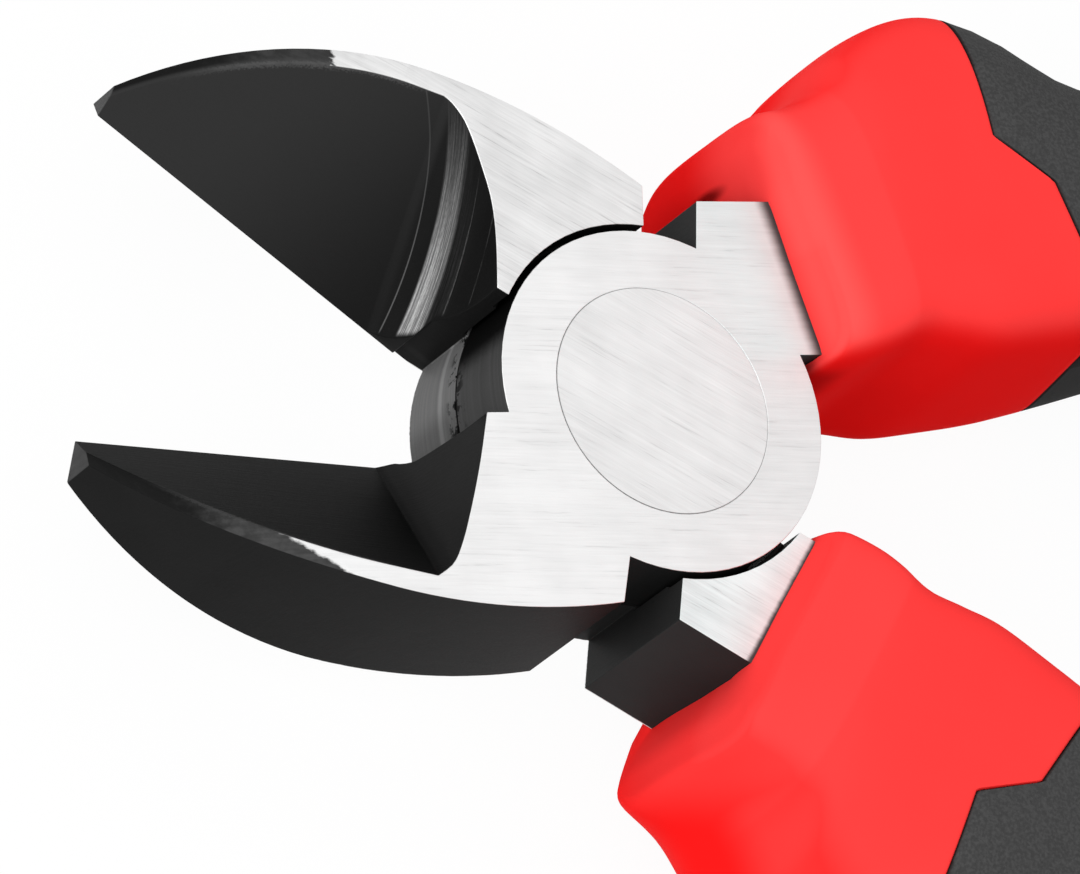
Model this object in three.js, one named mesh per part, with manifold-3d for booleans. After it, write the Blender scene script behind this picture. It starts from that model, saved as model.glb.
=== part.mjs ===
// Side cutters: two crossing steel levers on a lap joint, one rivet, and a two-material grip on each handle.
//
// Frame, in millimetres: the origin is on the rivet's axis, on the back face of the head. +X runs from the
// rivet towards the handles, +Y is to the left of it seen from the front, and +Z points out of the front.
//
// Both levers have one shape, apart from the section of a milled hollow. It is drawn once, as the rear lever
// lies with the cutters shut: the jaw towards -X on the +Y side of the parting line, the handle towards +X on
// the -Y side. The front lever mirrors it.

import * as THREE from 'three';
import { mergeVertices } from 'three/addons/utils/BufferGeometryUtils.js';
import Module from 'manifold-3d';

// Head and lap joint
const HEAD_THICKNESS = 10.5;
const OPENING_ANGLE = 33.4;
const LAP_DISC_RADIUS = 10.2;
const LAP_RECESS_RADIUS = 10.4;
const LAP_MOUTH_RADIUS = 10.6;
const LAP_MOUTH_DEPTH = 1.8;
const LAP_GAP = 0.2;
const ROUND_SIDES = 72;

// Rivet: a shank with a countersunk head at each end
const RIVET_HEAD_RADIUS = 6.7;
const RIVET_SHANK_RADIUS = 4.6;
const RIVET_HEAD_DEPTH = 2.4;
const RIVET_CLEARANCE = 0.08;
const RIVET_HOLE_OVERRUN = 1;

// Jaw
const TIP_X = -34.7;
const TIP_WIDTH = 1.75;
const EDGE_GAP = 0.05;
const EDGE_HEIGHT_AT_TIP = 5.29;
const EDGE_HEEL_X = -11.9;
const EDGE_HEIGHT_AT_HEEL = 0.77;
const EDGE_END_X = -12.45;
const ROOT_RELIEF = [-12.2, 0.62];
const HEEL_CORNER = [-5.5, 11.85];
const HEEL_FOOT = [-4.0, 8.0];
const JAW_OUTER_CONTROLS = [[-27.8, 9.6], [-16.5, 13.0]];
const FRONT_BEVEL_SLOPE = 0.856;
const BACK_BEVEL_SLOPE = 0.92;
const BACK_BEVEL_END_X = -10.85;
const NOSE_START_X = -20;
const NOSE_RADIUS = 27;
const NOSE_SWEEP = 40;
const BACK_RISE_START_X = -18;
const BACK_RISE_RADIUS = 40.2;
const BACK_RISE_SWEEP = 30;
const JAW_CURVE_STEPS = 32;
const SIDE_CURVE_STEPS = 12;

// Hollow at the heel of the front bevel: the line that it follows down the bevel, and its section on each
// lever as [across that line, above the bevel]. The front lever's is milled sharper.
const HOLLOW_TOP = [-17.2, 10.3];
const HOLLOW_FOOT = [-13.4, 0];
const HOLLOW_CURVE_STEPS = 3;
const FRONT_HOLLOW = [[0.1, 0], [1.02, 0.66], [1.5, 1.64], [1.83, 2.83], [2.09, 4.0], [2.31, 5.3],
  [2.5, 7.0]];
const REAR_HOLLOW = [[-1.1, 0], [-0.54, 0.18], [0.21, 0.65], [0.86, 1.41], [1.53, 2.42], [2.07, 3.36],
  [2.41, 4.4], [2.61, 5.6], [2.74, 7.0]];

// Shank and tang of the handle
const SHOULDER_CORNER = [5.3, -12.0];
const SHOULDER_FOOT = [4.0, -7.0];
const SHANK_INNER_Y = -2.7;
const SHANK_END_X = 13.0;
const TANG_END_X = 122;
const TANG_THICKNESS = 7.0;
const TANG_WIDTH_FRONT = 7.4;
const TANG_WIDTH_END = 5.6;
const TANG_STEPS = 12;
const TANG_BLEND_END_X = 40;
const TANG_CLEARANCE = 0.2;

// Grip: outlines in plan and height, each given as [x, value]
const GRIP_FRONT_X = 10.3;
const GRIP_END_X = 146;
const GRIP_INNER_SIDE = [[10.3, -2.1], [12.5, -2.0], [14.3, -2.2], [17.3, -3.0], [19.5, -2.75], [22, -2.4],
  [25, -2.6], [30, -3.2], [45, -6.2], [65, -9.2], [90, -11], [115, -9.8], [135, -6.6], [146, -5.0]];
const GRIP_OUTER_SIDE = [[10.3, -17.6], [13, -18.2], [15, -19.5], [17, -21.6], [21, -23.8], [24, -24.4],
  [27, -23.3], [31, -20.6], [36, -19.3], [45, -20.4], [65, -25.0], [90, -27.4], [115, -25.6], [135, -22.0],
  [146, -21.4]];
const GRIP_HALF_HEIGHT = [[10.3, 7.8], [13, 8.65], [15.6, 9.35], [16.6, 9.4], [22, 9.5], [28, 9.4], [40, 8.8],
  [70, 8.7], [100, 8.5], [130, 8.0], [146, 7.6]];
const GRIP_INNER_SQUARENESS = [[10.3, 7.0], [20, 7.0], [32, 5.5], [45, 4.0], [146, 3.0]];
const GRIP_OUTER_SQUARENESS = [[10.3, 4.5], [14, 3.6], [18, 2.8], [40, 2.6], [146, 2.6]];
const GRIP_END_ROUNDING = 7;
const GRIP_END_FLAT = 0.35;
const GRIP_SIDES = 32;
const GRIP_STATIONS = [10.3, 10.42, 10.7, 11.05, 12, 13.5, 15, 16, 17.5, 19, 21, 23, 25, 27, 29, 31.5, 35, 40,
  47, 56, 66, 78, 90, 102, 114, 125, 134, 139, 142, 144, 145.4, 146];

// Collar: the blunt front of the grip, bowed and leaning a little in side view, with a rounded rim. In plan
// it slants back over the shank's width, which keeps it clear of the lap disc, and at the outer side.
const COLLAR_FRONT_X = 9.35;
const COLLAR_BOW_DEPTH = 2.0;
const COLLAR_BOW_HALF_HEIGHT = 8.9;
const COLLAR_LEAN = 0.05;
const COLLAR_SLANT = 0.14;
const COLLAR_OUTER_Y = -15.5;
const COLLAR_OUTER_SLANT = 0.35;
const COLLAR_RIM = 0.75;
const COLLAR_INNER_RIM = 0.3;
const COLLAR_BLEND_END_X = 15;

// Soft cover: its thickness over the sleeve, and the zigzag of its front edge on the front face
const COVER_THICKNESS = 2.2;
const COVER_GAP = 0.25;
const COVER_EDGE = [[23.5, -60], [23.5, -14.3], [27.0, -11.5], [28.0, -7.4], [28.8, -4.5], [28.8, 40]];
const COVER_EDGE_HEIGHT = 14.5;
const COVER_EDGE_SLANT = -0.25;

// Colours
const STEEL = { color: 0xb9bbbd, roughness: 0.38, metalness: 1.0 };
const RIVET_STEEL = { color: 0xd2d3d4, roughness: 0.34, metalness: 1.0 };
const RED_PLASTIC = { color: 0xf02a2a, roughness: 0.42, metalness: 0.0 };
const DARK_SOFT_PLASTIC = { color: 0x434343, roughness: 0.75, metalness: 0.0 };

const MID_Z = HEAD_THICKNESS / 2;
const FAR = 200;
const wasm = await Module();
wasm.setup();

// Turns a closed three.js geometry into a solid that can be joined and cut.
function solid(geometry) {
  const plain = geometry.clone();
  plain.deleteAttribute('normal');
  plain.deleteAttribute('uv');
  const merged = mergeVertices(plain, 1e-5);
  return new wasm.Manifold(new wasm.Mesh({
    numProp: 3,
    vertProperties: new Float32Array(merged.attributes.position.array),
    triVerts: new Uint32Array(merged.index.array),
  }));
}

// Turns a solid back into a geometry, mirrored across the parting line for the front lever's pieces.
function geometryOf(body, mirrored) {
  const mesh = body.getMesh();
  const geometry = new THREE.BufferGeometry();
  const points = new Float32Array(mesh.vertProperties);
  const triangles = new Uint32Array(mesh.triVerts);
  geometry.setAttribute('position', new THREE.BufferAttribute(points, 3));
  if (mirrored) {
    geometry.scale(1, -1, 1);
    triangles.reverse();
  }
  geometry.setIndex(new THREE.BufferAttribute(triangles, 1));
  geometry.computeVertexNormals();
  return geometry;
}

function extrusion(shape, depth, curveSegments) {
  return new THREE.ExtrudeGeometry(shape, { depth, bevelEnabled: false, curveSegments });
}

// A straight-sided plate of the given outline between two heights.
function plate(shape, lowZ, highZ, curveSegments = 16) {
  return solid(extrusion(shape, highZ - lowZ, curveSegments).translate(0, 0, lowZ));
}

function outline(points) {
  return new THREE.Shape(points.map(([x, y]) => new THREE.Vector2(x, y)));
}

function box(low, high) {
  const size = high.map((value, axis) => value - low[axis]);
  const geometry = new THREE.BoxGeometry(...size);
  return solid(geometry.translate(...low.map((value, axis) => value + size[axis] / 2)));
}

function disc(radius, lowZ, highZ) {
  const geometry = new THREE.CylinderGeometry(radius, radius, highZ - lowZ, ROUND_SIDES);
  geometry.rotateX(Math.PI / 2);
  return solid(geometry.translate(0, 0, (lowZ + highZ) / 2));
}

// A smooth curve through [x, value] points, read at any x.
function curveThrough(points) {
  const slope = (i) => {
    const before = points[Math.max(i - 1, 0)];
    const after = points[Math.min(i + 1, points.length - 1)];
    return (after[1] - before[1]) / (after[0] - before[0]);
  };
  return (x) => {
    const i = THREE.MathUtils.clamp(points.findLastIndex((point) => point[0] <= x), 0, points.length - 2);
    const [x0, y0] = points[i];
    const [x1, y1] = points[i + 1];
    const span = x1 - x0;
    const t = THREE.MathUtils.clamp((x - x0) / span, 0, 1);
    const ease = t * t * (3 - 2 * t);
    const bend = t * (1 - t) * span * (slope(i) * (1 - t) - slope(i + 1) * t);
    return y0 + (y1 - y0) * ease + bend;
  };
}

// The cutting edge runs from the tip to the heel and drops towards the back face on the way.
const EDGE_FALL = (EDGE_HEIGHT_AT_HEEL - EDGE_HEIGHT_AT_TIP) / (EDGE_HEEL_X - TIP_X);
const edgeHeight = (x) => EDGE_HEIGHT_AT_TIP + EDGE_FALL * (x - TIP_X);
const frontBevelHeight = ([x, y]) => edgeHeight(x) + FRONT_BEVEL_SLOPE * y;

// What is ground away in front of the cutting edge: a flat bevel that ends in a hollow of the given section.
function frontBevelCutter(section) {
  const foot = new THREE.Vector3(...HOLLOW_FOOT, frontBevelHeight(HOLLOW_FOOT));
  const top = new THREE.Vector3(...HOLLOW_TOP, frontBevelHeight(HOLLOW_TOP));
  const outward = new THREE.Vector3(-EDGE_FALL, -FRONT_BEVEL_SLOPE, 1).normalize();
  const along = foot.clone().sub(top).normalize();
  const across = outward.clone().cross(along);
  const [start, ...wall] = section.map(([x, y]) => new THREE.Vector2(x, y));
  const profile = new THREE.Shape();
  profile.moveTo(-FAR, 0);
  profile.lineTo(start.x, start.y);
  profile.splineThru(wall);
  profile.lineTo(wall[wall.length - 1].x, FAR);
  profile.lineTo(-FAR, FAR);
  const geometry = extrusion(profile, 2 * FAR, HOLLOW_CURVE_STEPS).translate(0, 0, -FAR);
  geometry.applyMatrix4(new THREE.Matrix4().makeBasis(across, outward, along).setPosition(foot));
  return solid(geometry).intersect(box([-FAR, 0, -FAR], [FAR, FAR, FAR]));
}

// What is ground away behind the cutting edge. It stops short of the lap disc.
function backBevelCutter() {
  const reach = 30;
  const profile = outline([[-1, BACK_BEVEL_SLOPE], [-1, -FAR], [reach, -FAR],
    [reach, -BACK_BEVEL_SLOPE * reach]]);
  const startX = -FAR;
  const geometry = extrusion(profile, BACK_BEVEL_END_X - startX, 1);
  const place = new THREE.Matrix4().makeBasis(
    new THREE.Vector3(0, 1, 0),
    new THREE.Vector3(0, 0, 1),
    new THREE.Vector3(1, 0, EDGE_FALL),
  );
  place.setPosition(startX, 0, edgeHeight(startX));
  return solid(geometry.applyMatrix4(place));
}

// A plate-shaped cutter across the jaw, of an outline drawn in side view.
function sideCutter(profile) {
  const depth = 60;
  const geometry = extrusion(profile, depth, SIDE_CURVE_STEPS).rotateX(Math.PI / 2);
  return solid(geometry.translate(0, depth / 2, 0));
}

// The front face rounds down to the tip.
function noseCutter() {
  const clearZ = HEAD_THICKNESS + NOSE_RADIUS;
  const sweep = THREE.MathUtils.degToRad(NOSE_SWEEP);
  const profile = new THREE.Shape();
  profile.moveTo(NOSE_START_X, clearZ);
  profile.lineTo(NOSE_START_X, HEAD_THICKNESS);
  profile.absarc(NOSE_START_X, HEAD_THICKNESS - NOSE_RADIUS, NOSE_RADIUS, Math.PI / 2, Math.PI / 2 + sweep);
  profile.lineTo(NOSE_START_X - NOSE_RADIUS, clearZ);
  return sideCutter(profile);
}

// The back face rises to the tip in a longer curve.
function backRiseCutter() {
  const run = 30;
  const sweep = THREE.MathUtils.degToRad(BACK_RISE_SWEEP);
  const start = -Math.PI / 2;
  const profile = new THREE.Shape();
  profile.moveTo(BACK_RISE_START_X, -run);
  profile.lineTo(BACK_RISE_START_X, 0);
  profile.absarc(BACK_RISE_START_X, BACK_RISE_RADIUS, BACK_RISE_RADIUS, start, start - sweep, true);
  profile.lineTo(BACK_RISE_START_X - BACK_RISE_RADIUS * Math.sin(sweep), -run);
  return sideCutter(profile);
}

// The jaw. Past the end of its cutting edge, the root is cut back from the parting line.
function jaw(hollow) {
  const shape = new THREE.Shape();
  shape.moveTo(TIP_X, EDGE_GAP);
  shape.lineTo(EDGE_END_X, EDGE_GAP);
  shape.lineTo(...ROOT_RELIEF);
  shape.lineTo(HEEL_FOOT[0], ROOT_RELIEF[1]);
  shape.lineTo(...HEEL_FOOT);
  shape.lineTo(...HEEL_CORNER);
  shape.bezierCurveTo(...JAW_OUTER_CONTROLS[1], ...JAW_OUTER_CONTROLS[0], TIP_X, TIP_WIDTH);
  return plate(shape, 0, HEAD_THICKNESS, JAW_CURVE_STEPS)
    .subtract(frontBevelCutter(hollow))
    .subtract(backBevelCutter())
    .subtract(noseCutter())
    .subtract(backRiseCutter());
}

const innerSide = curveThrough(GRIP_INNER_SIDE);
const outerSide = curveThrough(GRIP_OUTER_SIDE);
const halfHeight = curveThrough(GRIP_HALF_HEIGHT);
const innerSquareness = curveThrough(GRIP_INNER_SQUARENESS);
const outerSquareness = curveThrough(GRIP_OUTER_SQUARENESS);
const shankMiddleY = (SHOULDER_CORNER[1] + SHANK_INNER_Y) / 2;

// The tang leaves the shank's middle and follows the grip's middle line.
function tangMiddle(x) {
  const blend = THREE.MathUtils.smoothstep(x, SHANK_END_X, TANG_BLEND_END_X);
  return THREE.MathUtils.lerp(shankMiddleY, (innerSide(x) + outerSide(x)) / 2, blend);
}

// The shank behind the lap joint and the tang inside the grip, or with a clearance, the bore that takes them.
function shankAndTang(clearance) {
  const shank = outline([
    [SHOULDER_FOOT[0], SHOULDER_FOOT[1]],
    [SHOULDER_CORNER[0], SHOULDER_CORNER[1] - clearance],
    [SHANK_END_X + clearance, SHOULDER_CORNER[1] - clearance],
    [SHANK_END_X + clearance, SHANK_INNER_Y + clearance],
    [SHOULDER_FOOT[0], SHANK_INNER_Y + clearance],
  ]);
  const stations = Array.from({ length: TANG_STEPS + 1 }, (_, i) => i / TANG_STEPS);
  const side = (sign) => stations.map((t) => {
    const x = THREE.MathUtils.lerp(SHANK_END_X - 1, TANG_END_X + clearance, t);
    const width = THREE.MathUtils.lerp(TANG_WIDTH_FRONT, TANG_WIDTH_END, t);
    return [x, tangMiddle(x) + sign * (width / 2 + clearance)];
  });
  const tang = outline([...side(-1), ...side(1).reverse()]);
  const halfThickness = TANG_THICKNESS / 2 + clearance;
  return plate(shank, -clearance, HEAD_THICKNESS + clearance)
    .add(plate(tang, MID_Z - halfThickness, MID_Z + halfThickness));
}

// The rivet's outline turned about its axis, or with a clearance and an overrun, the hole that takes it.
function rivetSolid(clearance, overrun) {
  const flare = (RIVET_HEAD_RADIUS - RIVET_SHANK_RADIUS) / RIVET_HEAD_DEPTH;
  const head = RIVET_HEAD_RADIUS + clearance + flare * overrun;
  const shank = RIVET_SHANK_RADIUS + clearance;
  const top = HEAD_THICKNESS + overrun;
  const profile = [[0, -overrun], [head, -overrun], [shank, RIVET_HEAD_DEPTH],
    [shank, HEAD_THICKNESS - RIVET_HEAD_DEPTH], [head, top], [0, top]];
  const lathe = new THREE.LatheGeometry(profile.map(([r, z]) => new THREE.Vector2(r, z)), ROUND_SIDES);
  return solid(lathe.rotateX(Math.PI / 2));
}

// The recess in a lever for the other lever's lap disc. Its mouth is a little wider.
function lapRecess(isFront) {
  if (isFront) {
    return disc(LAP_RECESS_RADIUS, -FAR, MID_Z + LAP_GAP / 2)
      .add(disc(LAP_MOUTH_RADIUS, -FAR, LAP_MOUTH_DEPTH));
  }
  return disc(LAP_RECESS_RADIUS, MID_Z - LAP_GAP / 2, FAR)
    .add(disc(LAP_MOUTH_RADIUS, HEAD_THICKNESS - LAP_MOUTH_DEPTH, FAR));
}

// One lever. The rear one keeps the back half of the lap, the front one the front half.
function lever(isFront) {
  const lapLow = isFront ? MID_Z + LAP_GAP / 2 : 0;
  const lapHigh = isFront ? HEAD_THICKNESS : MID_Z - LAP_GAP / 2;
  return jaw(isFront ? FRONT_HOLLOW : REAR_HOLLOW).add(shankAndTang(0))
    .subtract(lapRecess(isFront))
    .add(disc(LAP_DISC_RADIUS, lapLow, lapHigh))
    .subtract(rivetSolid(RIVET_CLEARANCE, RIVET_HOLE_OVERRUN));
}

// A circle's coordinate moved out towards a square's. Rounding errors near zero are dropped.
function squared(value, squareness) {
  return Math.abs(value) < 1e-6 ? 0 : Math.sign(value) * Math.abs(value) ** (2 / squareness);
}

// How far forward the collar reaches at a width and height.
function collarFront(y, z) {
  const rise = z - MID_Z;
  const bow = 1 - Math.sqrt(1 - Math.min(Math.abs(rise) / COLLAR_BOW_HALF_HEIGHT, 1) ** 2);
  const slant = COLLAR_SLANT * Math.max(y - SHOULDER_CORNER[1], 0)
    + COLLAR_OUTER_SLANT * Math.max(COLLAR_OUTER_Y - y, 0);
  return COLLAR_FRONT_X + COLLAR_BOW_DEPTH * bow + COLLAR_LEAN * rise + slant;
}

// A grip-shaped solid: a round bar whose sections are squeezed to the grip's outlines, drawn in by an inset.
function gripSolid(inset) {
  const steps = GRIP_STATIONS.length - 1;
  const bar = new THREE.CylinderGeometry(1, 1, 1, GRIP_SIDES, steps);
  const position = bar.attributes.position;
  const endX = GRIP_END_X - inset;
  const scale = (endX - GRIP_FRONT_X) / (GRIP_END_X - GRIP_FRONT_X);
  for (let i = 0; i < position.count; i += 1) {
    const station = Math.round((0.5 + position.getY(i)) * steps);
    const x = GRIP_FRONT_X + (GRIP_STATIONS[station] - GRIP_FRONT_X) * scale;
    const fromEnd = THREE.MathUtils.clamp((endX - x) / GRIP_END_ROUNDING, 0, 1);
    const rounding = Math.max(Math.sqrt(1 - (1 - fromEnd) ** 2), GRIP_END_FLAT);
    const fromFront = THREE.MathUtils.clamp((x - GRIP_FRONT_X) / COLLAR_RIM, 0, 1);
    const rim = 1 - Math.sqrt(1 - (1 - fromFront) ** 2);
    const lowY = outerSide(x) + rim * COLLAR_RIM;
    const highY = innerSide(x) - rim * COLLAR_INNER_RIM;
    const halfWidth = ((highY - lowY) / 2 - inset) * rounding;
    const height = (halfHeight(x) - rim * COLLAR_RIM - inset) * rounding;
    const radius = Math.hypot(position.getX(i), position.getZ(i));
    const angle = Math.atan2(position.getX(i), position.getZ(i));
    const squareness = Math.cos(angle) > 0 ? innerSquareness(x) : outerSquareness(x);
    const y = (lowY + highY) / 2 + radius * halfWidth * squared(Math.cos(angle), squareness);
    const z = MID_Z + radius * height * squared(Math.sin(angle), squareness);
    const bowShare = 1 - THREE.MathUtils.smoothstep(x, GRIP_FRONT_X, COLLAR_BLEND_END_X);
    position.setXYZ(i, x + bowShare * (collarFront(y, z) - GRIP_FRONT_X), y, z);
  }
  return solid(bar);
}

// Everything in front of the soft cover's zigzag edge. The edge slants with depth.
function frontOfCoverEdge(shift) {
  const depth = 80;
  const points = COVER_EDGE.map(([x, y]) => [x + shift, y]);
  const shape = outline([[0, points[0][1]], ...points, [0, points[points.length - 1][1]]]);
  const geometry = extrusion(shape, depth, 1).translate(0, 0, -depth / 2);
  const slanted = new THREE.Matrix4().makeBasis(
    new THREE.Vector3(1, 0, 0),
    new THREE.Vector3(0, 1, 0),
    new THREE.Vector3(COVER_EDGE_SLANT, 0, 1),
  );
  geometry.applyMatrix4(slanted.setPosition(0, 0, COVER_EDGE_HEIGHT));
  return solid(geometry);
}

function gripSleeve() {
  return gripSolid(0).intersect(frontOfCoverEdge(0))
    .add(gripSolid(COVER_THICKNESS))
    .subtract(shankAndTang(TANG_CLEARANCE));
}

function gripCover() {
  return gripSolid(0)
    .subtract(frontOfCoverEdge(COVER_GAP))
    .subtract(gripSolid(COVER_THICKNESS - COVER_GAP));
}

function addPiece(group, name, body, look, mirrored = false) {
  const mesh = new THREE.Mesh(geometryOf(body, mirrored), new THREE.MeshStandardMaterial(look));
  mesh.name = name;
  group.add(mesh);
}

const cutters = new THREE.Group();
const halfOpening = THREE.MathUtils.degToRad(OPENING_ANGLE / 2);
for (const side of ['front', 'rear']) {
  const isFront = side === 'front';
  const half = new THREE.Group();
  half.rotation.z = isFront ? halfOpening : -halfOpening;
  addPiece(half, `${side}_lever`, lever(isFront), STEEL, isFront);
  addPiece(half, `${side}_grip_sleeve`, gripSleeve(), RED_PLASTIC, isFront);
  addPiece(half, `${side}_grip_cover`, gripCover(), DARK_SOFT_PLASTIC, isFront);
  if (!isFront) {
    addPiece(half, 'pivot_rivet', rivetSolid(0, 0), RIVET_STEEL);
  }
  cutters.add(half);
}

export default cutters;
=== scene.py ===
# %% [markdown]
# # Side cutters: the looks
#
# The imported model gives seven plain solids in their real places: two steel levers, a rivet, and on each
# handle a hard sleeve under a soft cover. This lesson dresses every one of them. It works in the object's
# own frame: the rivet stands on the origin along +Z, and +X runs back to the handles. The CAD box is
# measured first, so that the floor can be laid just under it.

# %% Load the frame
import math

import bmesh
import bpy
from mathutils import Matrix, Vector


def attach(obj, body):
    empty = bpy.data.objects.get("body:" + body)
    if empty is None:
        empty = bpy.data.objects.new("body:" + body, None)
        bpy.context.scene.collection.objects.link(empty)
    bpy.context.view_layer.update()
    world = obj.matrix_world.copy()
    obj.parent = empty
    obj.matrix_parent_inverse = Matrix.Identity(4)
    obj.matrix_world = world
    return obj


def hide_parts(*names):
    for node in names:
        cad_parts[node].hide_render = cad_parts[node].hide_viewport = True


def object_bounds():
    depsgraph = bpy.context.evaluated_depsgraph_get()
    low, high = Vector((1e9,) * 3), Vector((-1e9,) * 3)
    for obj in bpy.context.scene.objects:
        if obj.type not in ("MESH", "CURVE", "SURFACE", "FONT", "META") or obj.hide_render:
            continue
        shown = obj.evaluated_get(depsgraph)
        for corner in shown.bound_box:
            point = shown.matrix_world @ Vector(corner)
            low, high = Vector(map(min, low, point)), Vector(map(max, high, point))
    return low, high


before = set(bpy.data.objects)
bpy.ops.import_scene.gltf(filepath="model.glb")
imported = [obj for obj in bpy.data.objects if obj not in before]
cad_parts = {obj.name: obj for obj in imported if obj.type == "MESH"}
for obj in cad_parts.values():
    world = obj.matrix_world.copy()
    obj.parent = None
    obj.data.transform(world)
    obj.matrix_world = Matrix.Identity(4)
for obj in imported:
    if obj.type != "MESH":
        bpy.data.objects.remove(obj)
cad_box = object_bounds()
MM = 0.001
SIDES = ("front", "rear")
HEAD_THICKNESS = 10.5
MIDDLE_HEIGHT = HEAD_THICKNESS / 2
HALF_OPENING = math.radians(16.7)

# %% [markdown]
# ## The camera
#
# The photograph was taken from a long way off with a long lens, above and in front of the jaws. A camera
# could be turned by three angles, but it is easier to read as a place, a point that it looks at, and a roll
# about that line, so these three values set it. The picture's width is matched to a 36 mm sensor.

# %% Camera
CAMERA_PLACE = Vector((-0.25509, -0.27162, 0.46650))
CAMERA_TARGET = Vector((-0.00475, -0.00142, 0.00525))
CAMERA_ROLL = math.radians(52.54)
LENS = 355.9
SENSOR_WIDTH = 36
SEEN_FROM_TO = (0.01, 20)

camera_data = bpy.data.cameras.new("camera")
camera_data.lens = LENS
camera_data.sensor_width = SENSOR_WIDTH
camera_data.sensor_fit = "HORIZONTAL"
camera_data.clip_start, camera_data.clip_end = SEEN_FROM_TO
camera = bpy.data.objects.new("camera", camera_data)
camera.location = CAMERA_PLACE
line_of_sight = CAMERA_TARGET - CAMERA_PLACE
aim = line_of_sight.to_track_quat("-Z", "Y").to_matrix()
camera.rotation_euler = (aim @ Matrix.Rotation(CAMERA_ROLL, 3, "Z")).to_euler()
bpy.context.scene.collection.objects.link(camera)
bpy.context.scene.camera = camera
print("camera to target:", round(line_of_sight.length / MM), "mm")

# %% [markdown]
# ## Writing shader maths as expressions
#
# A finish is a graph of nodes, but a graph is hard to read as code. Here a small class wraps one output
# socket and turns `+`, `-`, `*` and `/` into Math nodes, the first three also with a plain number on the
# left. Everything else is added by one method, `node`, which sets a node's settings first and then its
# sockets.

# %% Socket maths
class Value:
    """One output of a node. Arithmetic on it adds Math nodes."""

    def __init__(self, finish, socket):
        self.finish = finish
        self.socket = socket

    def output(self, key):
        """Another output of the same node."""
        return Value(self.finish, self.socket.node.outputs[key])

    def math(self, operation, *others):
        return self.finish.maths(operation, self, *others)

    def __add__(self, other):
        return self.math("ADD", other)

    def __sub__(self, other):
        return self.math("SUBTRACT", other)

    def __rsub__(self, other):
        return self.finish.maths("SUBTRACT", other, self)

    def __mul__(self, other):
        return self.math("MULTIPLY", other)

    def __truediv__(self, other):
        return self.math("DIVIDE", other)

    __radd__ = __add__
    __rmul__ = __mul__


print("socket maths ready")

# %% Finish builder
MILLIMETRES = (1000.0, 1000.0, 1000.0)


class Finish:
    """A material, or the world, under construction."""

    def __init__(self, name, kind=bpy.data.materials):
        self.made = kind.new(name)
        self.made.use_nodes = True
        self.tree = self.made.node_tree
        self.tree.nodes.clear()

    def node(self, kind, settings=None, sockets=None):
        """Adds a node and gives its first output, if it has one."""
        made = self.tree.nodes.new(kind)
        for key, setting in (settings or {}).items():
            setattr(made, key, setting)
        for key, given in (sockets or {}).items():
            if isinstance(given, Value):
                self.tree.links.new(given.socket, made.inputs[key])
            else:
                made.inputs[key].default_value = given
        return Value(self, made.outputs[0]) if made.outputs else None

    def maths(self, operation, *values):
        return self.node("ShaderNodeMath", {"operation": operation}, dict(enumerate(values)))

    def step(self, value, low, high):
        """0 below low, 1 above high, smooth between. With low above high it falls instead."""
        kind = {"interpolation_type": "SMOOTHSTEP"}
        if low < high:
            ends = {"From Min": low, "From Max": high}
        else:
            ends = {"From Min": high, "From Max": low, "To Min": 1.0, "To Max": 0.0}
        return self.node("ShaderNodeMapRange", kind, {"Value": value, **ends})

    def within(self, *limits):
        """The product of one step for each pair of a value and its range."""
        first, *others = [self.step(value, *ends) for value, ends in limits]
        return math.prod(others, start=first)

    def vectors(self, operation, first, second):
        return self.node("ShaderNodeVectorMath", {"operation": operation}, {0: first, 1: second})

    def dot(self, place, direction):
        return self.vectors("DOT_PRODUCT", place, direction).output("Value")

    def split(self, place):
        parts = self.node("ShaderNodeSeparateXYZ", None, {0: place})
        return [parts.output(axis) for axis in "XYZ"]

    def place(self, turn=0.0, scale=MILLIMETRES):
        """The piece's own place in millimetres, turned about the rivet's axis."""
        where = self.node("ShaderNodeTexCoord").output("Object")
        sockets = {"Vector": where, "Rotation": (0.0, 0.0, turn), "Scale": scale}
        return self.node("ShaderNodeMapping", None, sockets)

    def facing(self):
        """The direction that the surface faces, in the object's frame."""
        return self.node("ShaderNodeTexCoord").output("Normal")

    def stretched(self, place, turn, scale):
        """A place turned by an angle and squeezed, for a grain that runs one way."""
        turned = self.node("ShaderNodeMapping", None, {"Vector": place, "Rotation": (0.0, 0.0, turn)})
        return self.vectors("MULTIPLY", turned, scale)

    def noise(self, place, scale, detail=2.0, roughness=0.5):
        sockets = {"Vector": place, "Scale": scale, "Detail": detail, "Roughness": roughness}
        return self.node("ShaderNodeTexNoise", None, sockets).output("Fac")

    def mix(self, factor, low, high):
        """A colour between two colours, each a grey level, an RGB triple or another mix."""
        def colour(given):
            if isinstance(given, Value):
                return given
            return (*given, 1.0) if hasattr(given, "__len__") else (given, given, given, 1.0)
        sockets = {"Factor": factor, 6: colour(low), 7: colour(high)}
        return self.node("ShaderNodeMix", {"data_type": "RGBA"}, sockets).output(2)

    def blend(self, factor, low, high):
        """A number between two numbers."""
        return self.node("ShaderNodeMix", None, {"Factor": factor, 2: low, 3: high})

    def bump(self, height, distance, strength):
        sockets = {"Height": height, "Distance": distance, "Strength": strength}
        return self.node("ShaderNodeBump", None, sockets)

    def surface(self, sockets):
        shader = self.node("ShaderNodeBsdfPrincipled", None, sockets)
        self.node("ShaderNodeOutputMaterial", None, {"Surface": shader})
        return self.made


print("finish builder ready")

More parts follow.
